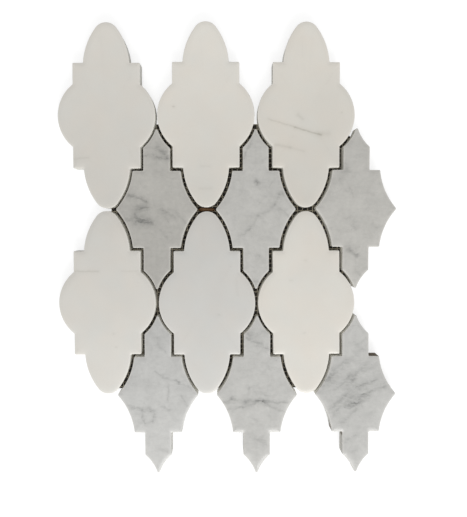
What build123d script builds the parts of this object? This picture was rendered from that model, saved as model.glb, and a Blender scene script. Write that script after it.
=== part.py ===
"""Marble mosaic sheet: white lanterns and grey stars on a glass-fibre mesh."""
from build123d import *
import math
import os

# White lantern, seen from above: a dome at each end, square blocks, a bulge at each side
LANTERN_WIDTH = 78.8
LANTERN_HEIGHT = 149.6
BLOCK_WIDTH = 54.4
BLOCK_HEIGHT = 17.2
DOME_WIDTH = 37.4
DOME_HEIGHT = 32.4
DOME_FLANK_RADIUS = 52.0
DOME_TIP_RADIUS = 10.3

# Grey star: it fills the space between four lanterns, less the joint, which is wider on its flanks
FLANK_JOINT = 2.5
END_TIP_RADIUS = 1.0
SIDE_TIP_RADIUS = 1.6

# Both kinds of stone
STONE_THICKNESS = 9.5
CORNER_RADIUS = 0.9
ARRIS_RADIUS = 0.5

# Sheet
COLUMNS = 3
ROWS = 2
JOINT = 2.2

# Backing: two layers of yarn on a thin dark coat, trimmed by hand inside the stones' edges
WARP_PITCH = 4.18
WEFT_PITCH = 3.98
THREAD_WIDTH = 0.8
THREAD_THICKNESS = 0.25
COAT_THICKNESS = 0.2
TRIM_MARGIN = 3.0
MOUTH_MARGIN = 2.0
TOP_MOUTH_MARGIN = 5.7
CORNER_CUT = 10.0

# How the stones were set by hand: shift right and up as shares of the joint, turn in degrees, and
# how much further back a star's flanks were cut
LANTERN_SETTING = {
    (1, 1): (0.25, 0.0, -0.1),
    (1, 2): (-0.10, 0.30, 0.0),
    (1, 3): (0.0, 0.15, -0.2),
    (2, 1): (-0.05, 0.0, 0.1),
    (2, 2): (0.05, -0.20, -0.1),
    (2, 3): (0.10, -0.20, 0.3),
}
STAR_SETTING = {
    (1, 1): (0.0, 0.05, -0.2, 0.0),
    (1, 2): (-0.15, 0.0, 0.1, 0.35),
    (1, 3): (0.10, 0.20, -0.5, 0.15),
    (2, 1): (0.05, 0.0, 0.0, 0.0),
    (2, 2): (0.10, -0.15, -0.3, 0.0),
    (2, 3): (0.10, -0.05, 0.1, 0.0),
}
LANTERN_AS_DRAWN = (0.0, 0.0, 0.0)
STAR_AS_DRAWN = (0.0, 0.0, 0.0, 0.0)

# Places that follow from the sizes
pitch_x = LANTERN_WIDTH + JOINT
pitch_y = LANTERN_HEIGHT + JOINT
half_width = LANTERN_WIDTH / 2
half_height = LANTERN_HEIGHT / 2
block_half = BLOCK_WIDTH / 2
step = half_height - DOME_HEIGHT
block_foot = step - BLOCK_HEIGHT
bulge_offset = (half_width**2 - block_half**2 - block_foot**2) / (2 * (half_width - block_half))
bulge_centre = Vector(bulge_offset, 0)
bulge_radius = half_width - bulge_offset
on_axis = 0.01


def circles_meet(first, first_radius, second, second_radius):
    """Left-hand point where two circles cross."""
    gap = second - first
    along = (first_radius**2 - second_radius**2 + gap.length**2) / (2 * gap.length)
    across = math.sqrt(first_radius**2 - along**2)
    middle = first + gap.normalized() * along
    side = Vector(-gap.Y, gap.X).normalized() * across
    return min(middle + side, middle - side, key=lambda point: point.X)


def right_of(centre, radius, y):
    """Point of a circle's right half at height y."""
    return Vector(centre.X + math.sqrt(radius**2 - (y - centre.Y) ** 2), y)


def above(centre, radius, x):
    """Point of a circle's upper half at x."""
    return Vector(x, centre.Y + math.sqrt(radius**2 - (x - centre.X) ** 2))


def below(centre, radius, x):
    """Point of a circle's lower half at x."""
    return Vector(x, centre.Y - math.sqrt(radius**2 - (x - centre.X) ** 2))


# Dome: each flank is an arc through the step that runs smoothly into the rounded tip
tip_centre = Vector(0, half_height - DOME_TIP_RADIUS)
flank_centre = circles_meet(
    tip_centre,
    DOME_FLANK_RADIUS - DOME_TIP_RADIUS,
    Vector(DOME_WIDTH / 2, step),
    DOME_FLANK_RADIUS,
)
flank_end = (tip_centre - flank_centre).normalized()


def lantern_face(grow):
    """Lantern with sharp corners, drawn larger all round by grow, or smaller below zero."""
    side = block_half + grow
    foot = above(bulge_centre, bulge_radius + grow, side)
    dome_foot = right_of(flank_centre, DOME_FLANK_RADIUS + grow, step + grow)
    dome_shoulder = flank_centre + flank_end * (DOME_FLANK_RADIUS + grow)
    with BuildSketch() as face:
        with BuildLine():
            RadiusArc((half_width + grow, 0), foot, -bulge_radius - grow)
            Line(foot, (side, step + grow))
            Line((side, step + grow), dome_foot)
            RadiusArc(dome_foot, dome_shoulder, -DOME_FLANK_RADIUS - grow)
            RadiusArc(dome_shoulder, (0, half_height + grow), -DOME_TIP_RADIUS - grow)
            mirror(about=Plane.XZ)
            mirror(about=Plane.YZ)
        make_face()
    return face.sketch


def star_face(gap, flank_gap):
    """Star with sharp corners: what four lanterns, drawn larger by the gaps, leave between them."""
    bulge = Vector(bulge_offset - pitch_x / 2, pitch_y / 2)
    flank = Vector(flank_centre.X - pitch_x / 2, pitch_y / 2 - flank_centre.Y)
    neck = block_half + flank_gap - pitch_x / 2
    shoulder = pitch_y / 2 - step - gap
    neck_top = below(bulge, bulge_radius + gap, neck)
    shoulder_end = right_of(flank, DOME_FLANK_RADIUS + flank_gap, shoulder)
    side_tip = right_of(flank, DOME_FLANK_RADIUS + flank_gap, 0)
    with BuildSketch() as face:
        with BuildLine():
            RadiusArc(below(bulge, bulge_radius + gap, 0), neck_top, bulge_radius + gap)
            Line(neck_top, (neck, shoulder))
            Line((neck, shoulder), shoulder_end)
            RadiusArc(shoulder_end, side_tip, DOME_FLANK_RADIUS + flank_gap)
            mirror(about=Plane.XZ)
            mirror(about=Plane.YZ)
        make_face()
    return face.sketch


with BuildSketch() as lantern_outline:
    add(lantern_face(0))
    tip_reach = (flank_centre + flank_end * DOME_FLANK_RADIUS).X + on_axis
    fillet(
        lantern_outline.vertices().filter_by(lambda v: abs(v.X) > tip_reach and abs(v.Y) > on_axis),
        CORNER_RADIUS,
    )


def star_outline(set_back):
    """Star with its corners rounded, its flanks set back from the lanterns by more than the joint."""
    with BuildSketch() as outline:
        add(star_face(JOINT, FLANK_JOINT + set_back))
        corners = outline.vertices().filter_by(lambda v: abs(v.X) > on_axis and abs(v.Y) > on_axis)
        fillet(corners, CORNER_RADIUS)
        fillet(outline.vertices().filter_by(lambda v: abs(v.X) < on_axis), END_TIP_RADIUS)
        fillet(outline.vertices().filter_by(lambda v: abs(v.Y) < on_axis), SIDE_TIP_RADIUS)
    return outline.sketch


# Sheet: stars stand half a pitch right of and below the lanterns; the origin is in its middle
star_size = star_outline(0).bounding_box().size
last_star_x = (COLUMNS - 0.5) * pitch_x
last_star_y = -(ROWS - 0.5) * pitch_y
first_x = (half_width - last_star_x - star_size.X / 2) / 2
first_y = (-half_height - last_star_y + star_size.Y / 2) / 2
lantern_places = {
    (row, column): Vector(first_x + (column - 1) * pitch_x, first_y - (row - 1) * pitch_y)
    for row in range(1, ROWS + 1)
    for column in range(1, COLUMNS + 1)
}
star_places = {
    place: centre + Vector(pitch_x / 2, -pitch_y / 2) for place, centre in lantern_places.items()
}
warp_bottom = COAT_THICKNESS
weft_bottom = warp_bottom + THREAD_THICKNESS
stone_bottom = weft_bottom + THREAD_THICKNESS

os.makedirs("parts", exist_ok=True)


def make_stone(outline, centre, setting, name):
    """Sawn stone with upright sides and an eased arris round its polished face."""
    shift_right, shift_up, turn = setting
    place = centre + Vector(shift_right, shift_up) * JOINT
    with BuildPart() as stone:
        with BuildSketch(Plane((place.X, place.Y, stone_bottom)).rotated((0, 0, turn))):
            add(outline)
        extrude(amount=STONE_THICKNESS)
        fillet(stone.faces().sort_by(Axis.Z)[-1].edges(), ARRIS_RADIUS)
    stone.part.label = name
    export_step(stone.part, f"parts/{name}.step")


for (row, column), centre in lantern_places.items():
    setting = LANTERN_SETTING.get((row, column), LANTERN_AS_DRAWN)
    make_stone(lantern_outline.sketch, centre, setting, f"white_lantern_r{row}c{column}")

for (row, column), centre in star_places.items():
    *setting, set_back = STAR_SETTING.get((row, column), STAR_AS_DRAWN)
    make_stone(star_outline(set_back), centre, setting, f"grey_star_r{row}c{column}")

# Backing outline: a panel that closes the joints up to their mouths, and lobes under the stones
panel_left = first_x + MOUTH_MARGIN
panel_right = first_x + last_star_x - MOUTH_MARGIN
panel_top = first_y - TOP_MOUTH_MARGIN
panel_bottom = first_y + last_star_y + MOUTH_MARGIN

with BuildSketch() as backing_outline:
    with Locations(((panel_left + panel_right) / 2, (panel_bottom + panel_top) / 2)):
        Rectangle(panel_right - panel_left, panel_top - panel_bottom)
    chamfer(backing_outline.vertices().sort_by(Axis.Y)[-2:].sort_by(Axis.X)[-1], CORNER_CUT)
    with Locations(*lantern_places.values()):
        add(lantern_face(-TRIM_MARGIN))
    with Locations(*star_places.values()):
        add(star_face(JOINT + TRIM_MARGIN, FLANK_JOINT + TRIM_MARGIN))

sheet = backing_outline.sketch.bounding_box().size


def whole_pitches(length, pitch):
    """Odd number of threads, so that one lies on the sheet's middle."""
    return 2 * math.floor(length / 2 / pitch) + 1


def narrow_side(face):
    """Shorter side of a face's box."""
    size = face.bounding_box().size
    return min(size.X, size.Y)


def make_threads(bottom, spacing, counts, size, name):
    """One layer of straight yarns, trimmed to the backing's outline, without split or tiny offcuts."""
    with BuildSketch(Plane.XY.offset(bottom)) as yarns:
        with GridLocations(*spacing, *counts):
            Rectangle(*size)
        add(backing_outline.sketch, mode=Mode.INTERSECT)
    whole_yarns = yarns.sketch.faces().filter_by(
        lambda face: face.area > THREAD_WIDTH**2 and narrow_side(face) > THREAD_WIDTH - on_axis
    )
    with BuildPart() as threads:
        extrude(whole_yarns, THREAD_THICKNESS)
    threads.part.label = name
    export_step(threads.part, f"parts/{name}.step")


with BuildPart() as coat:
    extrude(backing_outline.sketch, COAT_THICKNESS)
coat.part.label = "bonding_coat"
export_step(coat.part, "parts/bonding_coat.step")

make_threads(
    warp_bottom,
    (WARP_PITCH, 0),
    (whole_pitches(sheet.X, WARP_PITCH), 1),
    (THREAD_WIDTH, 2 * sheet.Y),
    "mesh_warp_threads",
)
make_threads(
    weft_bottom,
    (0, WEFT_PITCH),
    (1, whole_pitches(sheet.Y, WEFT_PITCH)),
    (2 * sheet.X, THREAD_WIDTH),
    "mesh_weft_threads",
)
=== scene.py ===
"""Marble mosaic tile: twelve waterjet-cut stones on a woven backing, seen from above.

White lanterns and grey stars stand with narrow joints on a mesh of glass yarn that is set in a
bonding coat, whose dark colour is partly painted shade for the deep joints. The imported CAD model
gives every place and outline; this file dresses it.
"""

import math

import bpy
import numpy as np
from bpy.props import FloatProperty, FloatVectorProperty, PointerProperty
from bpy.types import Operator, Panel, PropertyGroup
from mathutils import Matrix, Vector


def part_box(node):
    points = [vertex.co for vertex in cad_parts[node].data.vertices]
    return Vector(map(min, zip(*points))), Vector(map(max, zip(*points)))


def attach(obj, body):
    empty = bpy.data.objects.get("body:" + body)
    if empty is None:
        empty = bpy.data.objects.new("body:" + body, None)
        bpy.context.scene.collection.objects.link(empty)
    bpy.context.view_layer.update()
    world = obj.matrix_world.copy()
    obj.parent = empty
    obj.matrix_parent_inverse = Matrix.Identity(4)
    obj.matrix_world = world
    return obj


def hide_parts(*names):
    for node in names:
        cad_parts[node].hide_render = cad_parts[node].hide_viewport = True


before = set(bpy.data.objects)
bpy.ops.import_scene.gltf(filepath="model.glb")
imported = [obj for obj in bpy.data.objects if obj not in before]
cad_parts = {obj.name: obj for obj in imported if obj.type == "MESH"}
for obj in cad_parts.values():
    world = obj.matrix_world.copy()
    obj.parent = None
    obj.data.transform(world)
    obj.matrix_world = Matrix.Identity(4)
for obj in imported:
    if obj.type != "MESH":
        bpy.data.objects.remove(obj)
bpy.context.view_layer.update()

bl_info = {
    "name": "Marble mosaic tile",
    "version": (1, 0, 0),
    "blender": (4, 5, 0),
    "location": "View3D > Sidebar > Mosaic",
    "description": "Dresses the packed mosaic sheet with marble, yarn and adhesive, and sets its stage",
    "category": "Object",
}

MM = 0.001
# What takes a spot from metres to mm, as it is or laid flat on the sheet.
IN_MM = (1000, 1000, 1000)
FLAT_IN_MM = (1000, 1000, 0)
UP = (0, 0, 1)
ALONG_X, ALONG_Y = 0, 1
LANTERNS = sorted(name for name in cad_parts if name.startswith("white_lantern"))
STARS = sorted(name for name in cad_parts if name.startswith("grey_star"))

# Each stone against the others of its kind: how light it is, how warm, and how much lighter its
# upper end is than its middle.
SHADES = {
    "white_lantern_r1c1": (0.972, 0.0, 0.08), "white_lantern_r1c2": (1.03, 0.2, 0.10),
    "white_lantern_r1c3": (0.99, 0.4, 0.09), "white_lantern_r2c1": (0.975, -0.2, -0.07),
    "white_lantern_r2c2": (0.92, -0.8, -0.085), "white_lantern_r2c3": (1.035, 0.2, -0.035),
    "grey_star_r1c1": (0.885, 0.8, 0.085), "grey_star_r1c2": (1.02, 0.2, 0.0),
    "grey_star_r1c3": (1.00, 0.5, -0.025), "grey_star_r2c1": (1.11, -0.4, -0.10),
    "grey_star_r2c2": (1.075, -0.1, -0.02), "grey_star_r2c3": (1.08, -0.2, 0.0),
}

# The veins of each stone, as drawn from the slab: where a run starts and ends on the sheet, its
# half width, all in mm, and how much it darkens the stone.
VEINS = {
    "white_lantern_r1c1": [
        (-124, 74, -112, 75, 0.8, 0.16)],
    "white_lantern_r1c2": [
        (-43.5, 116, -42.8, 116, 0.7, 0.32), (-21, 68, -14, 68, 1.0, 0.10),
        (-22, 50, -13, 50, 1.4, 0.10)],
    "white_lantern_r1c3": [
        (33, 106, 55, 99, 0.6, 0.24), (55, 99, 76, 93, 0.65, 0.46), (74, 94, 82, 94, 2.4, 0.16),
        (39, 85, 51, 83, 1.3, 0.20), (51, 83, 62, 80, 1.1, 0.12), (57, 109, 61, 106, 1.5, 0.18),
        (92.4, 111, 93, 111, 0.6, 0.15)],
    "white_lantern_r2c1": [
        (-124, -17, -105, -17, 0.75, 0.24), (-86, -17, -71, -17, 0.8, 0.10),
        (-94, -68, -93, -68, 0.7, 0.14), (-92, -79, -90.5, -79, 0.7, 0.14)],
    "white_lantern_r2c2": [
        (7, -23, 8, -37, 1.2, 0.06), (-7.4, -53, -6.6, -53, 0.7, 0.16)],
    "white_lantern_r2c3": [
        (63, -9, 64, -9, 0.7, 0.12), (51, -25, 52.5, -25, 0.7, 0.12),
        (62, -68, 63, -68, 0.7, 0.13)],
    "grey_star_r1c1": [
        (-68, 77, -46, 73, 1.3, 0.50), (-56, 83, -49, 76, 4.0, 0.46),
        (-62, 68, -52, 61, 4.0, 0.12), (-81, 45, -66, 40, 1.5, 0.58),
        (-73, 35, -66, 34, 2.7, 0.68), (-83, 25, -62, 22, 1.8, 0.42),
        (-73, 25, -65, 23, 2.6, 0.46), (-75, 30, -72, 26, 1.6, 0.35),
        (-55, 34, -43, 27, 1.3, 0.34), (-52, 29, -48, 23, 1.6, 0.28),
        (-41, 30, -33, 22, 1.7, 0.28), (-54, 16, -48, 9, 1.5, 0.24), (-73, 5, -65, 2, 1.3, 0.15),
        (-86, 30, -62, 22, 8.0, 0.12)],
    "grey_star_r1c2": [
        (20, 87, 13, 74, 1.0, 0.40), (23.7, 55.5, 25.3, 54.5, 1.8, 0.85),
        (12, 13, 18, 17, 1.9, 0.28), (18, 17, 26, 28, 1.4, 0.18), (26, 28, 39, 36, 1.7, 0.21),
        (39, 36, 42, 45, 1.4, 0.19), (42, 45, 46, 46, 1.8, 0.32), (42, 34, 52, 25, 1.2, 0.26),
        (-9, 35, 16, 48, 3.0, 0.07), (23, -4.5, 25, -4.5, 1.7, 0.26),
        (21, -26, 25, -26, 1.9, 0.36), (26, 72, 29, 72, 2.0, 0.12), (29, 42, 35, 44, 1.6, 0.14)],
    "grey_star_r1c3": [
        (95, 68, 97, 64, 3.0, 0.32), (91, 60, 92, 59, 1.6, 0.26), (99, 50, 102, 43, 0.9, 0.22),
        (97, 25, 100, 26, 1.3, 0.26), (103, 19, 105, 17, 1.3, 0.26), (99, 0, 106, -5, 2.0, 0.52),
        (106, -19, 108, -21, 1.6, 0.20), (118, 22, 121, 17, 1.6, 0.14)],
    "grey_star_r2c1": [
        (-62, -69, -52, -74, 5.0, 0.14), (-58, -77, -51, -83, 1.3, 0.24),
        (-60, -99, -53, -104, 1.0, 0.36), (-53, -104, -30, -114, 0.9, 0.20),
        (-43.5, -106.5, -39.5, -109, 1.2, 0.42), (-76, -99, -65, -111, 6.0, 0.12),
        (-49, -112, -49, -123, 1.0, 0.28), (-54, -128, -48, -131, 1.2, 0.26),
        (-82, -128, -71, -131, 1.0, 0.34), (-65, -130, -64, -130.5, 1.7, 0.52),
        (-70, -132, -71, -137, 1.0, 0.26), (-71, -137, -68, -141.5, 1.0, 0.26),
        (-68, -141.5, -62, -140.5, 1.0, 0.26), (-62, -140.5, -60, -136, 1.0, 0.26),
        (-60, -136, -61, -132, 1.0, 0.26), (-61, -132, -70, -132, 1.0, 0.2),
        (-38, -120, -33, -128, 1.0, 0.18), (-56, -164, -51, -166, 2.0, 0.18)],
    "grey_star_r2c2": [
        (-5, -126, 3, -122, 1.5, 0.40), (3, -122, 14, -124, 1.2, 0.34),
        (14, -124, 29, -124.5, 1.3, 0.38), (24, -124, 30, -125.5, 1.9, 0.40),
        (29, -124.5, 49, -126, 1.3, 0.38), (-1, -131, 13, -128.5, 1.2, 0.36),
        (13, -128.5, 29, -125, 1.0, 0.28), (32, -127, 46, -133, 1.1, 0.30),
        (16, -72, 24, -77, 1.4, 0.38), (24, -77, 35, -81, 1.4, 0.42),
        (15, -67, 19, -70, 2.5, 0.32), (23, -70, 31, -65, 3.0, 0.12),
        (16, -119, 17, -113, 1.3, 0.20), (17, -113, 24, -111, 1.3, 0.18),
        (19, -154, 29, -159, 2.8, 0.22), (28, -102, 33, -96, 1.2, 0.14),
        (20, -138, 25, -141, 1.2, 0.22), (28, -155, 34, -162, 2.0, 0.14),
        (22, -116, 32, -119, 1.4, 0.16)],
    "grey_star_r2c3": [
        (76, -111, 88, -102, 3.2, 0.26), (80, -108, 83, -106, 2.2, 0.34),
        (84, -102, 97, -91, 1.8, 0.22), (88, -115, 101, -103, 1.8, 0.24),
        (94, -96, 110, -82, 2.6, 0.16), (100, -106, 113, -95, 1.5, 0.26),
        (97, -129, 108, -126, 2.0, 0.38), (103, -127, 114, -121, 2.9, 0.36),
        (101, -121, 110, -119, 1.8, 0.30), (106, -113, 121, -107, 1.5, 0.46),
        (111, -119, 129, -112, 1.7, 0.32), (84, -131, 97, -120, 1.9, 0.26),
        (87, -135, 98, -125, 1.6, 0.22), (93, -143, 105, -132, 2.0, 0.26),
        (96, -159, 106, -152, 1.6, 0.28), (101, -168, 106, -165, 1.8, 0.22),
        (106, -78, 115, -72, 2.0, 0.20), (98, -112, 105, -104, 1.5, 0.28),
        (78, -112, 96, -100, 8.0, 0.12), (102, -116, 124, -104, 9.0, 0.13),
        (88, -128, 104, -112, 7.0, 0.10), (112, -100, 122, -94, 2.4, 0.14),
        (81, -144, 90, -133, 1.6, 0.16)],
}

# Painted shade on the outer side of a stone, in the adhesive's brown: the spot on the sheet and its
# reach, in mm, and how strongly it darkens.
SIDE_SHADE_PATCHES = {"grey_star_r2c3": [(119, -84, 8, 1.0), (91, -147, 7, 0.75)]}


def paint(red, green, blue):
    """A colour as a shader takes it, from the 0 to 255 of a colour card: the sRGB curve undone."""
    card = np.array([red, green, blue]) / 255
    return tuple(np.where(card <= 0.04045, card / 12.92, ((card + 0.055) / 1.055) ** 2.4))


class StoneLook(PropertyGroup):
    """What the stones look like."""

    white: FloatVectorProperty(
        name="White marble", description="Polished face of the lanterns", subtype="COLOR",
        default=paint(212, 208, 202), min=0, max=1)
    grey: FloatVectorProperty(
        name="Grey marble", description="Polished face of the stars", subtype="COLOR",
        default=paint(182, 181, 177), min=0, max=1)
    vein: FloatVectorProperty(
        name="Vein", description="Mineral in the veins", subtype="COLOR",
        default=paint(74, 76, 74), min=0, max=1)
    thread_vein: FloatVectorProperty(
        name="Thread vein", description="Mineral in the thin veins of the white stones",
        subtype="COLOR", default=paint(124, 120, 102), min=0, max=1)
    # Painted highlight: this paler colour on the eased edge stands in for light catching and glowing
    # through the edge.
    rim: FloatVectorProperty(
        name="Eased edge", description="Ground stone along the eased edge", subtype="COLOR",
        default=paint(236, 233, 226), min=0, max=1)
    sawn: FloatVectorProperty(
        name="Sawn stone", description="Unpolished stone, paler than the face", subtype="COLOR",
        default=paint(239, 238, 234), min=0, max=1)
    wall: FloatVectorProperty(
        name="Cut side", description="Olive film on the unpolished side of a stone", subtype="COLOR",
        default=paint(231, 229, 219), min=0, max=1)
    # This brown also serves the patches of painted shade on some outer sides.
    foot: FloatVectorProperty(
        name="Foot of the side", description="Adhesive drawn up the foot of a stone", subtype="COLOR",
        default=paint(84, 70, 48), min=0, max=1)
    arris: FloatProperty(
        name="Arris", description="Radius of the eased top edge", default=0.5 * MM, subtype="DISTANCE")
    fall: FloatProperty(
        name="Edge fall", description="How far polishing lowers the face at its edge",
        default=0.5 * MM, subtype="DISTANCE")
    ease: FloatProperty(
        name="Ease", description="How far in from the edge the face starts to fall",
        default=6.0 * MM, subtype="DISTANCE")
    step: FloatProperty(
        name="Outline step", description="Longest step along a stone's outline",
        default=0.8 * MM, subtype="DISTANCE")


class BackingLook(PropertyGroup):
    """What holds the stones together."""

    yarn: FloatVectorProperty(
        name="Glass yarn", description="Resin-soaked yarn of the mesh", subtype="COLOR",
        default=paint(184, 176, 156), min=0, max=1)
    # Partly painted shade: the coat is dark so that the deep joints, where it shows through the mesh,
    # read as shade.
    coat: FloatVectorProperty(
        name="Bonding coat", description="Dark adhesive that the mesh is set in", subtype="COLOR",
        default=paint(36, 30, 21), min=0, max=1)
    dab: FloatVectorProperty(
        name="Adhesive dab", description="Adhesive squeezed up in a joint", subtype="COLOR",
        default=paint(100, 70, 40), min=0, max=1)
    film: FloatVectorProperty(
        name="Thin coat", description="The coat where it is scraped thin on the back", subtype="COLOR",
        default=paint(70, 61, 47), min=0, max=1)
    thickness: FloatProperty(
        name="Coat thickness", description="What is left of the coat between the yarns",
        default=0.04 * MM, subtype="DISTANCE")


class StageLook(PropertyGroup):
    """Floor, light and camera."""

    floor: FloatVectorProperty(
        name="Floor", description="Plain pale floor", subtype="COLOR",
        default=(0.36, 0.36, 0.36), min=0, max=1)
    glow: FloatProperty(
        name="Floor glow", description="Added to the floor where the camera sees it", default=0.72)
    sky: FloatProperty(
        name="Soft light", description="Strength of the light from all round", default=0.75)
    lean: FloatProperty(
        name="Lean", description="How much more of the soft light comes from the lamp's side",
        default=0.35)
    overhead: FloatProperty(
        name="Overhead", description="Share of the soft light that falls from above", default=0.55,
        subtype="FACTOR", min=0, max=1)
    lamp: FloatProperty(
        name="Lamp", description="Power of the lamp beyond the sheet's lower end", default=13.0,
        unit="POWER")
    lens: FloatProperty(
        name="Lens", description="Focal length on a 36 mm sensor", default=30.69,
        subtype="DISTANCE_CAMERA")


class Wire:
    """A shader value on its way from node to node; sums on it add Math nodes."""

    def __init__(self, finish, socket):
        self.finish, self.socket = finish, socket

    def sum(self, operation, first, second, clamp=False):
        """One Math node on two numbers or wires."""
        return self.finish.node(
            "ShaderNodeMath", {"operation": operation, "use_clamp": clamp}, {0: first, 1: second})

    def __add__(self, other):
        return self.sum("ADD", self, other)

    __radd__ = __add__

    def __sub__(self, other):
        return self.sum("SUBTRACT", self, other)

    def __rsub__(self, other):
        return self.sum("SUBTRACT", other, self)

    def __mul__(self, other):
        return self.sum("MULTIPLY", self, other)

    __rmul__ = __mul__

    def __truediv__(self, other):
        return self.sum("DIVIDE", self, other)

    def __pow__(self, other):
        return self.sum("POWER", self, other)

    def held(self):
        """The value kept between 0 and 1."""
        return self.sum("ADD", self, 0.0, clamp=True)

    def rise(self, start, gain):
        """0 up to the start, then rising at the gain until it is 1."""
        return ((self - start) * gain).held()


class Finish:
    """The finish of one material, or of the sky: a node tree that is filled step by step."""

    def __init__(self, owner):
        owner.use_nodes = True
        self.owner, self.tree = owner, owner.node_tree
        self.tree.nodes.clear()

    def node(self, kind, settings=None, inputs=None, out=0):
        """Adds a node: its settings first, then the values or wires of its sockets."""
        made = self.tree.nodes.new(kind)
        for key, value in (settings or {}).items():
            setattr(made, key, value)
        for key, value in (inputs or {}).items():
            if isinstance(value, Wire):
                self.tree.links.new(value.socket, made.inputs[key])
            elif isinstance(value, (tuple, list)) and made.inputs[key].type == "RGBA":
                made.inputs[key].default_value = (*value[:3], 1)
            else:
                made.inputs[key].default_value = value
        return Wire(self, made.outputs[out] if len(made.outputs) else None)

    def place(self, scale=IN_MM):
        """The spot on the piece, in mm."""
        spot = self.node("ShaderNodeTexCoord", out="Object")
        return self.vector("MULTIPLY", spot, scale)

    def vector(self, operation, first, second, out=0):
        """One Vector Math node on two vectors or wires."""
        return self.node(
            "ShaderNodeVectorMath", {"operation": operation}, {0: first, 1: second}, out)

    def dot(self, first, second):
        """Dot product of two vectors or wires."""
        return self.vector("DOT_PRODUCT", first, second, "Value")

    def distance(self, first, second):
        """How far apart two spots are."""
        return self.vector("DISTANCE", first, second, "Value")

    def noise(self, spot, size, detail=2.0, rough=0.5, out="Fac"):
        """Cloudy noise from 0 to 1, whose lumps are about the given size in mm."""
        return self.node(
            "ShaderNodeTexNoise", None,
            {"Vector": spot, "Scale": 1 / size, "Detail": detail, "Roughness": rough}, out)

    def cloud(self, spot, size, detail=2.0, rough=0.5):
        """The same noise about 0, from -0.5 to 0.5."""
        return self.noise(spot, size, detail, rough) - 0.5

    def laid(self, spot, turn, stretch):
        """The spot turned about the upright and stretched, so that noise on it lies in streaks."""
        return self.node(
            "ShaderNodeMapping", None, {"Vector": spot, "Rotation": (0, 0, turn), "Scale": stretch})

    def mix(self, share, first, second, blend="MIX"):
        """Colours mixed: share 0 gives the first, 1 the second."""
        return self.node(
            "ShaderNodeMix", {"data_type": "RGBA", "blend_type": blend},
            {0: share, 6: first, 7: second}, out=2)

    def shaded(self, colour, light):
        """A colour times a light."""
        return self.mix(1.0, colour, self.grey(light), "MULTIPLY")

    def grey(self, value):
        """A grey colour as light as the value."""
        return self.node("ShaderNodeCombineColor", None, {0: value, 1: value, 2: value})

    def attribute(self, name):
        """A number that the piece's own points carry."""
        return self.node("ShaderNodeAttribute", {"attribute_name": name}, out="Fac")

    def surface(self, colour, roughness, height, depth):
        """Ends the material: a surface with this colour and roughness, and relief of this depth."""
        relief = self.node(
            "ShaderNodeBump", None, {"Strength": 1.0, "Distance": depth, "Height": height})
        shader = self.node(
            "ShaderNodeBsdfPrincipled", None,
            {"Base Color": colour, "Roughness": roughness, "Normal": relief})
        self.node("ShaderNodeOutputMaterial", None, {"Surface": shader})
        return self.owner


# A vein's ragged core and its soft halo: how wide each is against the vein's half width, how
# quickly it fades outwards, and its share of the darkening. The halo is wider by a margin, in mm.
CORE_SPREAD, CORE_FADE, CORE_SHARE = 1.6, 1.4, 0.56
HALO_SPREAD, HALO_FADE, HALO_SHARE, HALO_MARGIN = 3.4, 2, 0.32, 1.8


def vein_shadow(finish, spot, lines, ragged):
    """How much the veins darken a spot: each is a straight run with a ragged core and a soft halo.

    The nearest point of the run is its start plus the clamped share of the run that the spot has
    passed.
    """
    dark = None
    for x0, y0, x1, y1, width, depth in lines:
        run = np.array([x1 - x0, y1 - y0, 0.0])
        reach = finish.vector("SUBTRACT", spot, (x0, y0, 0))
        passed = finish.dot(reach, tuple(run / (run @ run))).held()
        foot = finish.node(
            "ShaderNodeVectorMath", {"operation": "SCALE"}, {0: tuple(run), "Scale": passed})
        away = finish.distance(reach, foot)
        core = (1 - (away + ragged) / (CORE_SPREAD * width)).held() ** CORE_FADE
        halo = (1 - away / (HALO_SPREAD * width + HALO_MARGIN)).held() ** HALO_FADE
        mask = core * (CORE_SHARE * depth) + halo * (HALO_SHARE * depth)
        dark = mask if dark is None else dark + mask
    return dark


# What one step of warmth adds to a stone's red and takes from its blue.
WARMTH_RED, WARMTH_BLUE = 0.02, 0.035


def stone_tone(finish, name, colour):
    """A stone's own ground colour, and a light that fades in a straight line along the stone."""
    light, warmth, slope = SHADES[name]
    low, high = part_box(name)
    middle, half = (low.y + high.y) / 2 / MM, (high.y - low.y) / 2 / MM
    upward = finish.dot(finish.place(), (0, slope / half, 0))
    base = light * np.array(colour) * (1 + WARMTH_RED * warmth, 1, 1 - WARMTH_BLUE * warmth)
    return base, upward + (1 - slope * middle / half)


def wandered(finish, spot, size, reach):
    """The spot moved about by cloudy noise, so that straight runs wander."""
    cloud = finish.noise(spot, size, detail=4.0, rough=0.6, out="Color")
    swing = finish.vector("SUBTRACT", cloud, (0.5, 0.5, 0.5))
    return finish.vector("ADD", spot, finish.vector("MULTIPLY", swing, (reach, reach, 0)))


# The olive film on a stone's side: its cover at the foot, what it loses by the top, its patches;
# and how much paler the sawn stone under it is than the face.
FILM_COVER, FILM_LOSS, FILM_PATCHES, SAWN_PALER = 0.75, 0.45, 1.1, 0.55
# The adhesive at its foot: how far up the side it comes, how uneven it is, how sharply it ends.
FOOT_RISE, FOOT_UNEVEN, FOOT_EDGE = 0.07, 0.2, 12.0
# The same for the patches of painted shade on a stone's outer side, against its reach.
SHADE_PATCH_REACH, SHADE_PATCH_UNEVEN, SHADE_PATCH_EDGE = 1.15, 0.8, 4.0
# Painted highlight on the eased edge, a paler colour standing in for light that catches the edge
# and glows through it: how quickly it fades inwards, and its share.
RIM_HIGHLIGHT_FADE, RIM_HIGHLIGHT_SHARE = 5, 0.3
# Roughness of the polish, and what the grain, the eased edge and the cut side add.
POLISH, GRAIN_DULLS, RIM_DULLS, CUT_DULLS = 0.16, 0.05, 0.2, 0.5
# Relief of the side's upright jet marks, how long they are drawn, and the face's share of relief.
STONE_RELIEF, JET_STRETCH, GRAIN_RELIEF = 0.12 * MM, (1, 1, 0.12), 0.06


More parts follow.
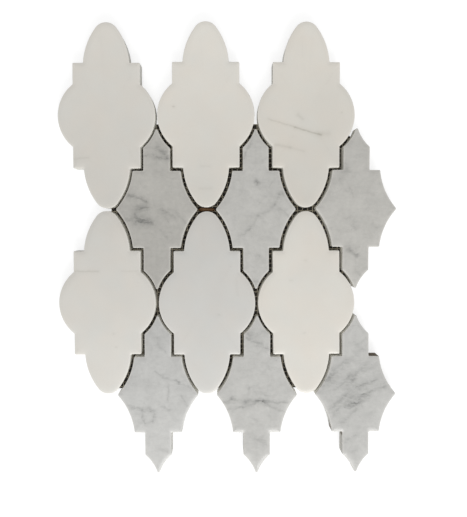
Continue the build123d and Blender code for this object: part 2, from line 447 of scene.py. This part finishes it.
def stone_surface(finish, name, face, look):
    """Ties the polished face to the arris, paler with a painted highlight, and to the sawn side, by
    the stone's attributes.

    The side is the stone's colour under an olive film that thickens downwards, brown with adhesive
    at its foot; patches of painted shade in the same brown darken some outer sides.
    """
    spot = finish.place()
    rim, cut = finish.attribute("rim"), finish.attribute("cut")
    low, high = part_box(name)
    risen = ((finish.dot(spot, UP) - low.z / MM) / ((high.z - low.z) / MM)).held()
    stain = finish.cloud(spot, size=5.0, detail=4.0, rough=0.6)
    jet = finish.noise(finish.vector("MULTIPLY", spot, JET_STRETCH), size=0.35)
    film = (FILM_COVER - FILM_LOSS * risen + FILM_PATCHES * stain).held()
    sawn = finish.mix(SAWN_PALER, face, tuple(look.sawn))
    side = finish.mix(film, sawn, tuple(look.wall))
    foot = ((FOOT_RISE + FOOT_UNEVEN * stain - risen) * FOOT_EDGE).held()
    side = finish.mix(foot, side, tuple(look.foot))
    # Painted shade: patches of the adhesive's brown darken outer sides that face away from the light.
    for x, y, reach, cover in SIDE_SHADE_PATCHES.get(name, []):
        away = finish.distance(finish.place(FLAT_IN_MM), (x, y, 0))
        shade_patch = ((SHADE_PATCH_REACH - away / reach + SHADE_PATCH_UNEVEN * stain) * SHADE_PATCH_EDGE).held()
        side = finish.mix(shade_patch * cover, side, tuple(look.foot))
    # Painted highlight: near its edge the face turns towards the paler rim colour.
    pale = finish.mix(rim ** RIM_HIGHLIGHT_FADE * RIM_HIGHLIGHT_SHARE, face, tuple(look.rim))
    colour = finish.mix(cut, pale, side)
    grain = finish.noise(spot, size=0.9, detail=3.0)
    rough = POLISH + GRAIN_DULLS * grain + RIM_DULLS * rim + CUT_DULLS * cut
    relief = GRAIN_RELIEF * grain + cut * jet
    return finish.surface(colour, rough.held(), relief, STONE_RELIEF)


# White marble: its warm and cool patches against the ground colour, how sharply they part and how
# far aside their noise is taken; then how strong the clouds, crystals and ragged veins (mm) are.
WHITE_WARM, WHITE_COOL = (1.0, 0.992, 0.965), (0.978, 0.998, 0.99)
BLUSH_GAIN, BLUSH_ASIDE = 2.4, (140, 60, 0)
WHITE_CLOUDS, WHITE_CRYSTALS, WHITE_RAGGED = 0.10, 0.07, 1.4


def white_marble(name, look):
    """Dense white dolomite: soft warm and cool clouds, fine crystals and a few thin olive veins."""
    finish = Finish(bpy.data.materials.new(name + "_marble"))
    spot = finish.place(FLAT_IN_MM)
    cloud = finish.cloud(spot, size=34.0)
    blush = finish.cloud(finish.vector("ADD", spot, BLUSH_ASIDE), size=22.0)
    crystal = finish.cloud(finish.place(), size=0.8, detail=3.0, rough=0.6)
    ragged = finish.cloud(spot, size=1.8, detail=3.0, rough=0.6) * WHITE_RAGGED
    drawn = wandered(finish, spot, size=6.0, reach=2.2)
    dark = vein_shadow(finish, drawn, VEINS[name], ragged)
    base, fade = stone_tone(finish, name, look.white)
    face = finish.mix(
        (blush * BLUSH_GAIN + 0.5).held(), tuple(base * WHITE_WARM), tuple(base * WHITE_COOL))
    face = finish.shaded(face, fade + WHITE_CLOUDS * cloud + WHITE_CRYSTALS * crystal)
    face = finish.mix(dark.held(), face, tuple(look.thread_vein))
    return stone_surface(finish, name, face, look)


# Grey marble: how much lighter the ground is made between its clouds, and how strong its clouds,
# mottle, crystals and ragged veins (mm) are.
GREY_LIFT, GREY_CLOUDS, GREY_MOTTLE, GREY_CRYSTALS, GREY_RAGGED = 0.02, 0.26, 0.27, 0.12, 2.6
# Its wisps: their slope in degrees, that in a stone cut the other way, and their stretch.
WISP_SLOPE, OTHER_SLOPES, WISP_STRETCH = -16, {"grey_star_r2c3": 38}, (0.3, 1.0, 1.0)
# How dark the wisps and specks are, the least of a broken vein, and what its whole patches add.
WISP_DARK, SPECK_DARK, VEIN_LEAST, VEIN_PATCHES = 0.13, 0.21, 0.4, 0.8


def grey_marble(name, look):
    """Carrara: a grey ground with soft clouds, thin wisps, specks and the stone's own dark veins."""
    finish = Finish(bpy.data.materials.new(name + "_marble"))
    spot = finish.place(FLAT_IN_MM)
    drawn = wandered(finish, spot, size=7.0, reach=6.0)
    ragged = finish.cloud(spot, size=2.2, detail=4.0, rough=0.65) * GREY_RAGGED
    dark = vein_shadow(finish, wandered(finish, drawn, size=1.7, reach=3.0), VEINS[name], ragged)
    cloud = finish.cloud(spot, size=15.0, detail=3.0, rough=0.55)
    mottle = finish.cloud(drawn, size=3.4, detail=4.0, rough=0.6)
    crystal = finish.cloud(finish.place(), size=0.7, detail=3.0, rough=0.6)
    slope = math.radians(OTHER_SLOPES.get(name, WISP_SLOPE))
    streak = finish.laid(drawn, -slope, WISP_STRETCH)
    wisp = finish.noise(streak, size=4.2, detail=5.0, rough=0.62).rise(start=0.52, gain=4.0)
    whole = finish.noise(streak, size=1.8, detail=4.0, rough=0.6).rise(start=0.36, gain=3.2)
    speck = finish.noise(spot, size=1.7, rough=0.6).rise(start=0.64, gain=8.0)
    base, fade = stone_tone(finish, name, look.grey)
    light = fade + GREY_LIFT + GREY_CLOUDS * cloud + GREY_MOTTLE * mottle
    face = finish.shaded(tuple(base), light + GREY_CRYSTALS * crystal)
    patchy = VEIN_LEAST + VEIN_PATCHES * whole
    deep = (dark * patchy + WISP_DARK * wisp + SPECK_DARK * speck).held()
    face = finish.mix(deep, face, tuple(look.vein))
    return stone_surface(finish, name, face, look)


# Glass yarn: how long its filaments are drawn, how much of the dark coat the resin patches show,
# its darkest light and what the filaments add, its roughness and what they add, and its relief.
FILAMENT_STRETCH, RESIN_SHARE, YARN_RELIEF = 0.06, 0.5, 0.06 * MM
YARN_LIGHT, FILAMENT_LIGHT, YARN_ROUGH, FILAMENT_ROUGH = 0.8, 0.4, 0.55, 0.2


def glass_yarn(name, look, along):
    """Resin-soaked yarn: fine filaments along the run, resin darker in patches."""
    finish = Finish(bpy.data.materials.new(name + "_finish"))
    spot = finish.place()
    stretch = tuple(FILAMENT_STRETCH if axis == along else 1 for axis in range(3))
    filament = finish.noise(finish.vector("MULTIPLY", spot, stretch), size=0.14)
    resin = finish.noise(spot, size=7.0, detail=3.0).rise(start=0.42, gain=3.0)
    colour = finish.mix(resin * RESIN_SHARE, tuple(look.yarn), tuple(look.coat))
    colour = finish.shaded(colour, YARN_LIGHT + FILAMENT_LIGHT * filament)
    return finish.surface(colour, YARN_ROUGH + FILAMENT_ROUGH * filament, filament, YARN_RELIEF)


# Adhesive: its darkest light and what patches and grit add, its roughness and what patches add,
# and the relief of its lumps.
GLUE_LIGHT, PATCH_LIGHT, GRIT_LIGHT = 0.65, 0.5, 0.2
GLUE_ROUGH, PATCH_ROUGH, GLUE_RELIEF = 0.5, 0.3, 0.15 * MM
# Its scraped back: the slope of the strokes in radians, their stretch, the height in mm that counts
# as the back, and how sharply that ends.
SCRAPE_SLOPE, SCRAPE_STRETCH, BACK_HEIGHT, BACK_EDGE = 0.6, (0.15, 1.0, 1.0), 0.19, 50.0


def bonding_adhesive(name, colour, lump, film=None):
    """Dark adhesive: mottled brown, half dull, with a trowel's small lumps; its back scraped thin."""
    finish = Finish(bpy.data.materials.new(name + "_finish"))
    spot = finish.place()
    patch = finish.noise(spot, size=11.0, detail=4.0, rough=0.6)
    grit = finish.noise(spot, size=lump, detail=3.0, rough=0.6)
    tone = tuple(colour)
    if film:
        stroke = finish.laid(spot, SCRAPE_SLOPE, SCRAPE_STRETCH)
        thin = finish.noise(stroke, size=6.0, detail=4.0, rough=0.6).rise(start=0.38, gain=3.0)
        back = ((BACK_HEIGHT - finish.dot(spot, UP)) * BACK_EDGE).held()
        tone = finish.mix(thin * back, tone, tuple(film))
    tone = finish.shaded(tone, GLUE_LIGHT + PATCH_LIGHT * patch + GRIT_LIGHT * grit)
    return finish.surface(tone, GLUE_ROUGH + PATCH_ROUGH * patch, grit, GLUE_RELIEF)


def mesh_arrays(mesh):
    """Corner points and triangles of a mesh, as whole arrays."""
    points = np.empty(len(mesh.vertices) * 3)
    mesh.vertices.foreach_get("co", points)
    mesh.calc_loop_triangles()
    triangles = np.empty(len(mesh.loop_triangles) * 3, dtype=np.int32)
    mesh.loop_triangles.foreach_get("vertices", triangles)
    return points.reshape(-1, 3), triangles.reshape(-1, 3)


def add_piece(name, points, faces, material, sharp=None, **attributes):
    """A mesh object at the origin, smooth but for edges sharper than the angle in degrees."""
    mesh = bpy.data.meshes.new(name)
    mesh.from_pydata(points, [], faces)
    mesh.polygons.foreach_set("use_smooth", np.ones(len(mesh.polygons), dtype=bool))
    for key, values in attributes.items():
        mesh.attributes.new(key, "FLOAT", "POINT").data.foreach_set("value", values)
    if sharp:
        mesh.set_sharp_from_angle(angle=math.radians(sharp))
    mesh.materials.append(material)
    if mesh.validate():
        raise RuntimeError(f"{name} has faces that don't fit its points")
    piece = bpy.data.objects.new(name, mesh)
    bpy.context.scene.collection.objects.link(piece)
    return piece


def grid_faces(rows, columns, start=0):
    """Quads of a grid whose columns close into a ring; rows run up, columns run anticlockwise."""
    row, column = np.meshgrid(np.arange(rows - 1), np.arange(columns), indexing="ij")
    here = start + row * columns + column
    after = start + row * columns + (column + 1) % columns
    return np.stack([here, after, after + columns, here + columns], axis=-1).reshape(-1, 4)


def closed_faces(rows, columns):
    """The same grid with a fan of triangles over its first ring and one over its last.

    Each fan meets in a point of its own: the two points that follow the grid's.
    """
    ends = np.arange(columns)
    around = (ends + 1) % columns
    last = (rows - 1) * columns
    first_fan = np.column_stack([around, ends, np.full(columns, rows * columns)])
    last_fan = np.column_stack([last + ends, last + around, np.full(columns, rows * columns + 1)])
    return grid_faces(rows, columns).tolist() + first_fan.tolist() + last_fan.tolist()


# Corners this close to a stone's lowest level lie on its back.
LEVEL_ROOM = 0.01 * MM


def stone_outline(name, step):
    """Middle and outline of a stone, and how far round each point of the outline lies, from 0 to 1.

    The outline is the corners of the CAD back, in order of their angle about the middle. Every
    corner is kept, and points are set between corners so that no step is longer than asked.
    """
    points, _ = mesh_arrays(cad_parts[name].data)
    back = points[points[:, 2] < points[:, 2].min() + LEVEL_ROOM, :2]
    back = np.unique(np.round(back, decimals=6), axis=0)
    middle = (back.min(axis=0) + back.max(axis=0)) / 2
    away = back - middle
    loop = away[np.argsort(np.arctan2(away[:, 1], away[:, 0]))]
    loop = np.vstack([loop, loop[:1]])
    run = np.concatenate([[0], np.cumsum(np.hypot(*np.diff(loop, axis=0).T))])
    even = np.linspace(0, run[-1], math.ceil(run[-1] / step), endpoint=False)
    at = np.unique(np.round(np.concatenate([run[:-1], even]), decimals=5))
    edge = np.column_stack([np.interp(at, run, loop[:, axis]) for axis in (0, 1)])
    return middle, edge, at / run[-1]


# The rings of a stone: shares of the outline over the back, of the height up the side, degrees round
# the arris, and shares of the arris's inner ring over the face.
BACK_RINGS = (0.5, 0.985, 1.0)
SIDE_RINGS = (0.02, 0.25, 0.5, 0.75, 0.97)
ARRIS_RINGS = (0, 18, 36, 54, 72, 90)
FACE_RINGS = (0.994, 0.986, 0.976, 0.964, 0.95, 0.93, 0.9, 0.86, 0.8, 0.74, 0.6)
# How the arris swells along the edge: by which share, in how many waves round the stone, and the
# number of waves at which they are half as high.
ARRIS_SWELL, ARRIS_WAVES, WAVES_AT_HALF = 0.10, (7, 13, 19, 31, 47, 71, 103), 20
# Where the arris leaves the side: how much of the rim's look, the painted highlight and the duller
# polish, it has, and how soon the cut look ends.
RIM_START, CUT_END = 0.2, 2.2
# Power of the curve in which the face falls to its edge.
FALL_CURVE = 3


def make_stone(name, material, look):
    """A stone as rings about its middle: back, side, arris and face.

    Around: the outline. Across: out over the back, up the side, over the arris on a quarter circle,
    then inward over the face, which polishing has lowered towards its edge. The arris swells and
    shrinks a little along the edge, as a hand pad leaves it.
    """
    middle, edge, turn = stone_outline(name, look.step)
    low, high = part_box(name)
    before, after = np.roll(edge, 1, axis=0), np.roll(edge, -1, axis=0)
    tangent = (after - before) / np.linalg.norm(after - before, axis=1)[:, None]
    inward = np.column_stack([-tangent[:, 1], tangent[:, 0]])
    seed = np.random.default_rng(sum(map(ord, name)))
    waves = sum(
        np.cos(2 * math.pi * (turn * count + seed.random())) / (1 + count / WAVES_AT_HALF)
        for count in ARRIS_WAVES)
    radius = look.arris * (1 + ARRIS_SWELL * waves)[:, None]
    rings, heights, rim, cut = [], [], [], []

    def ring(spots, level, rim_share, cut_share):
        """Adds a ring: its points, its height, and its shares of the rim's and the cut look."""
        rings.append(spots)
        for kept, value in ((heights, level), (rim, rim_share), (cut, cut_share)):
            kept.append(np.broadcast_to(value, (len(edge), 1)).ravel())

    for scale in BACK_RINGS:
        ring(edge * scale, low.z, 0, 1)
    for share in SIDE_RINGS:
        ring(edge, low.z + share * (high.z - look.fall - radius - low.z), 0, 1)
    for angle in np.radians(ARRIS_RINGS):
        over = math.sin(angle)
        ring(
            edge + inward * radius * (1 - math.cos(angle)),
            high.z - look.fall - radius * (1 - over),
            min(1.0, RIM_START + over), max(0.0, 1 - CUT_END * over))
    inner = rings[-1]
    for scale in FACE_RINGS:
        spots = inner * scale
        away = np.linalg.norm(spots[:, None] - inner[None], axis=2).min(axis=1)
        drop = np.maximum(0, 1 - away / look.ease)[:, None] ** FALL_CURVE
        ring(spots, high.z - look.fall * drop, drop, 0)
    flat = np.concatenate(rings) + middle
    points = np.column_stack([flat, np.concatenate(heights)])
    points = np.vstack([points, [*middle, low.z], [*middle, high.z]])
    piece = add_piece(
        name + "_stone", points, closed_faces(len(rings), len(edge)), material, sharp=50,
        rim=np.append(np.concatenate(rim), [0, 0]), cut=np.append(np.concatenate(cut), [1, 0]))
    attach(piece, "root")
    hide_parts(name)
    return piece


def yarn_runs(node):
    """Boxes of the separate yarns in a CAD node.

    Corners that share a triangle take the lowest label among them, again and again, until each yarn
    has one label.
    """
    points, triangles = mesh_arrays(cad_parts[node].data)
    corners, index = np.unique(np.round(points, decimals=6), axis=0, return_inverse=True)
    triangles = index.ravel()[triangles]
    label = np.arange(len(corners))
    while True:
        spread = label.copy()
        np.minimum.at(spread, triangles.ravel(), np.repeat(label[triangles].min(axis=1), 3))
        if (spread == label).all():
            break
        label = spread
    yarns, index = np.unique(label, return_inverse=True)
    low, high = np.full((len(yarns), 3), np.inf), np.full((len(yarns), 3), -np.inf)
    np.minimum.at(low, index, corners)
    np.maximum.at(high, index, corners)
    return low, high


# A yarn's section: its corners, its half height as a share of the backing's height, and its half
# width as a share of the CAD yarn's width.
YARN_CORNERS, YARN_HALF_HEIGHT, YARN_HALF_WIDTH = 6, 0.19, 0.44
# Left free between the weave and the levels of the backing.
WEAVE_ROOM = 0.01 * MM
# How far a yarn drifts aside, the run of that wave to a radian, and the range of its start, in radians.
DRIFT, DRIFT_RUN, DRIFT_START = 0.05 * MM, 11 * MM, 6.3
# Shortest step at the end of a yarn, against half a pitch.
SHORTEST_STEP = 0.1
YARN_SEED = 31


def make_yarns(node, along, material):
    """Woven yarns: a flat oval section carried along each run, over and under the cross yarns.

    Across: six points of an oval as wide as the CAD yarn. Along: height is the backing's middle plus
    or minus a cosine whose half wave is the pitch of the yarns that it crosses, with a section at
    every crossing and halfway between. The low crowns come through the bonding coat to the sheet's
    back.
    """
    other = "mesh_weft_threads" if node == "mesh_warp_threads" else "mesh_warp_threads"
    low, high = yarn_runs(node)
    cross_low, cross_high = yarn_runs(other)
    side = 1 - along
    cross = np.unique(np.round((cross_low + cross_high)[:, along] / 2, decimals=5))
    pitch = np.median(np.diff(cross))
    own = np.unique(np.round((low + high)[:, side] / 2, decimals=5))
    own_pitch = np.median(np.diff(own))
    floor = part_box("bonding_coat")[0].z + WEAVE_ROOM
    roof = max(high[:, 2].max(), cross_high[:, 2].max()) - WEAVE_ROOM
    half_height = YARN_HALF_HEIGHT * (roof - floor)
    swing = (roof - floor) / 2 - half_height
    sign = 1 if along == ALONG_Y else -1
    step = pitch / 2
    section = np.arange(YARN_CORNERS)
    angle = np.radians(section * 360 / YARN_CORNERS)
    seed = np.random.default_rng(YARN_SEED + along)
    points, faces = [], []
    count = 0
    for near, far in zip(low, high):
        first = math.ceil((near[along] - cross[0]) / step + SHORTEST_STEP)
        last = math.floor((far[along] - cross[0]) / step - SHORTEST_STEP)
        inner = cross[0] + step * np.arange(first, last + 1)
        path = np.concatenate([[near[along]], inner, [far[along]]])
        samples = len(path)
        centre = (near[side] + far[side]) / 2
        phase = math.pi * (path - cross[0]) / pitch
        phase += math.pi * round((centre - own[0]) / own_pitch)
        level = (roof + floor) / 2 + sign * swing * np.cos(phase)
        drift = DRIFT * np.sin(path / DRIFT_RUN + seed.random() * DRIFT_START)
        width = YARN_HALF_WIDTH * (far[side] - near[side])
        ring = np.zeros((samples, YARN_CORNERS, 3))
        ring[..., along] = path[:, None]
        ring[..., side] = centre + drift[:, None] + width * np.cos(angle)
        ring[..., 2] = level[:, None] + half_height * np.sin(angle)
        quads = grid_faces(samples, YARN_CORNERS, count)
        near_end = (count + section)[::-1]
        far_end = count + (samples - 1) * YARN_CORNERS + section
        if along == ALONG_Y:
            quads, near_end, far_end = quads[:, ::-1], near_end[::-1], far_end[::-1]
        points.append(ring.reshape(-1, 3))
        faces += quads.tolist() + [near_end.tolist(), far_end.tolist()]
        count += samples * YARN_CORNERS
    piece = add_piece(
        node.replace("threads", "yarns"), np.concatenate(points), faces, material, sharp=80)
    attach(piece, "root")
    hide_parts(node)


def make_coat(material, look):
    """The bonding coat between the yarns: the CAD coat's own outline, its back raised to a film."""
    points, triangles = mesh_arrays(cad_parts["bonding_coat"].data)
    corners, index = np.unique(np.round(points, decimals=7), axis=0, return_inverse=True)
    low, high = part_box("bonding_coat")
    corners[:, 2] = high.z - (high.z - corners[:, 2]) * look.thickness / (high.z - low.z)
    faces = index.ravel()[triangles].tolist()
    piece = add_piece("bonding_film", corners, faces, material, sharp=30)
    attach(piece, "root")
    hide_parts("bonding_coat")


# The dab's half length, half width and height, and how far left of the lanterns' middle it lies.
DAB_LENGTH, DAB_WIDTH, DAB_HEIGHT, DAB_ASIDE = 7.0 * MM, 2.1 * MM, 6.2 * MM, 0.3 * MM
# Its points round the oval, its rings over the mound, the angle from the crown at which they stop,
# and the ring that the foot has inside its edge.
DAB_COLUMNS, DAB_RINGS, DAB_CROWN, DAB_FOOT_RING = 64, 11, 0.12, 0.5
# Lumps of its skin and of its height: waves round the oval, how high they are, where they start.
DAB_LUMPS = ((3, 0.07, 0.7), (7, 0.05, 2.0))
DAB_TOP_WAVES, DAB_TOP_LUMP, DAB_TOP_START = 2, 0.06, 1.0


def make_dab(material):
    """Adhesive squeezed up where two lanterns meet end to end: a long low mound on an oval foot.

    Around: the oval's angle. Across: from the foot's middle out and over the mound, whose height
    falls off as a half ellipse; lumps move its skin in and out.
    """
    above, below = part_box("white_lantern_r1c2"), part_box("white_lantern_r2c2")
    centre = np.array([(above[0].x + above[1].x) / 2 - DAB_ASIDE, (above[0].y + below[1].y) / 2])
    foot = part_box("mesh_weft_threads")[1].z
    angle = np.linspace(0, 2 * math.pi, DAB_COLUMNS, endpoint=False)
    climb = np.linspace(math.pi / 2, DAB_CROWN, DAB_RINGS)
    spread = np.concatenate([[DAB_FOOT_RING], np.sin(climb)])[:, None]
    lift = np.concatenate([[0], np.cos(climb)])[:, None]
    lump = 1 + sum(high * np.cos(waves * angle + start) for waves, high, start in DAB_LUMPS)
    top = DAB_TOP_LUMP * np.cos(DAB_TOP_WAVES * angle + DAB_TOP_START)
    x = centre[0] + DAB_LENGTH * spread * np.cos(angle) * lump
    y = centre[1] + DAB_WIDTH * spread * np.sin(angle) * lump
    z = foot + DAB_HEIGHT * lift * (1 + top * spread)
    points = np.column_stack([x.ravel(), y.ravel(), z.ravel()])
    points = np.vstack([points, [*centre, foot], [*centre, foot + DAB_HEIGHT]])
    faces = closed_faces(len(spread), DAB_COLUMNS)
    piece = add_piece("adhesive_dab", points, faces, material, sharp=60)
    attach(piece, "root")


# The floor's reach each way and its level, in metres: just under the sheet.
FLOOR_REACH, FLOOR_LEVEL = 12.0, -0.1 * MM
# The side that the lamp stands on, as a direction; its place and edge in metres, its turn in degrees.
LAMP_HEADING = (0.1, -0.995, 0)
LAMP_PLACE, LAMP_SIZE, LAMP_TURN = (0.26, -1.35, 0.9), 0.8, (56, 0, 11)
# Overhead light that gives a level face what even light from all round does.
OVERHEAD_EVEN = 1.5
# The camera's place in mm and its turn in degrees, its sensor in mm, and its clipping in metres.
CAMERA_PLACE, CAMERA_TURN = (-2.83, 23.03, 368.2), (-1.386, -0.306, -0.19)
SENSOR, CLIP_NEAR, CLIP_FAR = 36, 0.01, 50
# How far the photograph was cropped off its middle, and its height, in pixels.
CROP_X, CROP_Y, PHOTO_HEIGHT = 7.2, -26.2, 517


def seen(finish):
    """1 for rays that bring the floor to the camera, straight, off gloss or through glass; else 0."""
    straight, gloss, glass = (
        finish.node("ShaderNodeLightPath", out=name)
        for name in ("Is Camera Ray", "Is Glossy Ray", "Is Transmission Ray"))
    return (straight + gloss + glass).held()


def pale_floor(look):
    """Plain pale floor that keeps the shadow; a little glow takes it to white where it is seen."""
    finish = Finish(bpy.data.materials.new("pale_floor"))
    plain = finish.node("ShaderNodeBsdfDiffuse", None, {"Color": tuple(look.floor)})
    glow = finish.node("ShaderNodeEmission", None, {"Color": (1, 1, 1), "Strength": look.glow})
    bright = finish.node("ShaderNodeAddShader", None, {0: plain, 1: glow})
    shown = finish.node("ShaderNodeMixShader", None, {0: seen(finish), 1: plain, 2: bright})
    finish.node("ShaderNodeOutputMaterial", None, {"Surface": shown})
    return finish.owner


def set_sky(scene, look):
    """Soft light from all round, stronger overhead and on the lamp's side.

    It grows with the dot products of the direction with straight up and with the lamp's heading. A
    level face gets the same light whatever the overhead share is. Where the sky is seen, it is white.
    """
    scene.world = bpy.data.worlds.new("studio_light")
    finish = Finish(scene.world)
    heading = finish.node("ShaderNodeTexCoord", out="Generated")
    toward = finish.dot(heading, LAMP_HEADING)
    above = finish.dot(heading, UP).held()
    spread = 1 - look.overhead + OVERHEAD_EVEN * look.overhead * above + look.lean * toward
    shown = seen(finish)
    strength = shown + (1 - shown) * (look.sky * spread)
    light = finish.node("ShaderNodeBackground", None, {"Color": (1, 1, 1), "Strength": strength})
    finish.node("ShaderNodeOutputWorld", None, {"Surface": light})


def set_lamp(scene, look):
    """One broad soft lamp beyond the lower end of the sheet."""
    light = bpy.data.lights.new("soft_lamp", "AREA")
    light.shape, light.size, light.energy = "SQUARE", LAMP_SIZE, look.lamp
    lamp = bpy.data.objects.new("soft_lamp", light)
    lamp.location = LAMP_PLACE
    lamp.rotation_euler = [math.radians(turn) for turn in LAMP_TURN]
    scene.collection.objects.link(lamp)


def set_camera(scene, look):
    """The camera above the sheet, a little off square, with the photograph's crop as its shift."""
    view = bpy.data.cameras.new("camera")
    view.sensor_width, view.lens = SENSOR, look.lens
    view.shift_x, view.shift_y = CROP_X / PHOTO_HEIGHT, CROP_Y / PHOTO_HEIGHT
    view.clip_start, view.clip_end = CLIP_NEAR, CLIP_FAR
    camera = bpy.data.objects.new("camera", view)
    camera.location = [place * MM for place in CAMERA_PLACE]
    camera.rotation_euler = [math.radians(turn) for turn in CAMERA_TURN]
    scene.collection.objects.link(camera)
    scene.camera = camera


class MOSAIC_OT_lanterns(Operator):
    """Cuts and polishes the white lanterns"""

    bl_idname = "mosaic.lanterns"
    bl_label = "White lanterns"

    def execute(self, context):
        look = context.scene.mosaic_stones
        for name in LANTERNS:
            make_stone(name, white_marble(name, look), look)
        return {"FINISHED"}


class MOSAIC_OT_stars(Operator):
    """Cuts and polishes the grey stars"""

    bl_idname = "mosaic.stars"
    bl_label = "Grey stars"

    def execute(self, context):
        look = context.scene.mosaic_stones
        for name in STARS:
            make_stone(name, grey_marble(name, look), look)
        return {"FINISHED"}


class MOSAIC_OT_mesh(Operator):
    """Weaves the glass yarns of the backing"""

    bl_idname = "mosaic.mesh"
    bl_label = "Backing mesh"

    def execute(self, context):
        look = context.scene.mosaic_backing
        make_yarns("mesh_warp_threads", ALONG_Y, glass_yarn("warp_yarn", look, ALONG_Y))
        make_yarns("mesh_weft_threads", ALONG_X, glass_yarn("weft_yarn", look, ALONG_X))
        return {"FINISHED"}


class MOSAIC_OT_adhesive(Operator):
    """Finishes the bonding coat and sets the dab in its joint"""

    bl_idname = "mosaic.adhesive"
    bl_label = "Adhesive"

    def execute(self, context):
        look = context.scene.mosaic_backing
        # The coat's dark colour is partly painted shade for the deep joints.
        make_coat(bonding_adhesive("bonding_coat", look.coat, lump=0.8, film=look.film), look)
        make_dab(bonding_adhesive("adhesive_dab", look.dab, lump=0.6))
        return {"FINISHED"}


class MOSAIC_OT_stage(Operator):
    """Lays the floor and sets the light and the camera"""

    bl_idname = "mosaic.stage"
    bl_label = "Stage"

    def execute(self, context):
        look = context.scene.mosaic_stage
        corners = [(x * FLOOR_REACH, y * FLOOR_REACH, FLOOR_LEVEL)
                   for x, y in ((-1, -1), (1, -1), (1, 1), (-1, 1))]
        add_piece("floor", corners, [(0, 1, 2, 3)], pale_floor(look))
        set_sky(context.scene, look)
        set_lamp(context.scene, look)
        set_camera(context.scene, look)
        context.scene.view_settings.view_transform = "Standard"
        return {"FINISHED"}


class MOSAIC_PT_sheet(Panel):
    """Steps and settings of the mosaic sheet"""

    bl_idname = "MOSAIC_PT_sheet"
    bl_label = "Marble mosaic tile"
    bl_space_type = "VIEW_3D"
    bl_region_type = "UI"
    bl_category = "Mosaic"

    def draw(self, context):
        """Lists the steps, then every setting."""
        for step in STEPS:
            self.layout.operator(step.bl_idname)
        scene = context.scene
        for group in (scene.mosaic_stones, scene.mosaic_backing, scene.mosaic_stage):
            for key in group.__annotations__:
                self.layout.prop(group, key)


STEPS = (MOSAIC_OT_lanterns, MOSAIC_OT_stars, MOSAIC_OT_mesh, MOSAIC_OT_adhesive, MOSAIC_OT_stage)
CLASSES = (StoneLook, BackingLook, StageLook, *STEPS, MOSAIC_PT_sheet)


def register():
    """Makes the steps and settings known to Blender."""
    for each in CLASSES:
        bpy.utils.register_class(each)
    bpy.types.Scene.mosaic_stones = PointerProperty(type=StoneLook)
    bpy.types.Scene.mosaic_backing = PointerProperty(type=BackingLook)
    bpy.types.Scene.mosaic_stage = PointerProperty(type=StageLook)


def unregister():
    """Takes the steps and settings away again."""
    del bpy.types.Scene.mosaic_stage, bpy.types.Scene.mosaic_backing, bpy.types.Scene.mosaic_stones
    for each in reversed(CLASSES):
        bpy.utils.unregister_class(each)


def main():
    """Makes the sheet and its stage."""
    register()
    bpy.ops.mosaic.lanterns()
    bpy.ops.mosaic.stars()
    bpy.ops.mosaic.mesh()
    bpy.ops.mosaic.adhesive()
    bpy.ops.mosaic.stage()


if __name__ == "__main__":
    main()
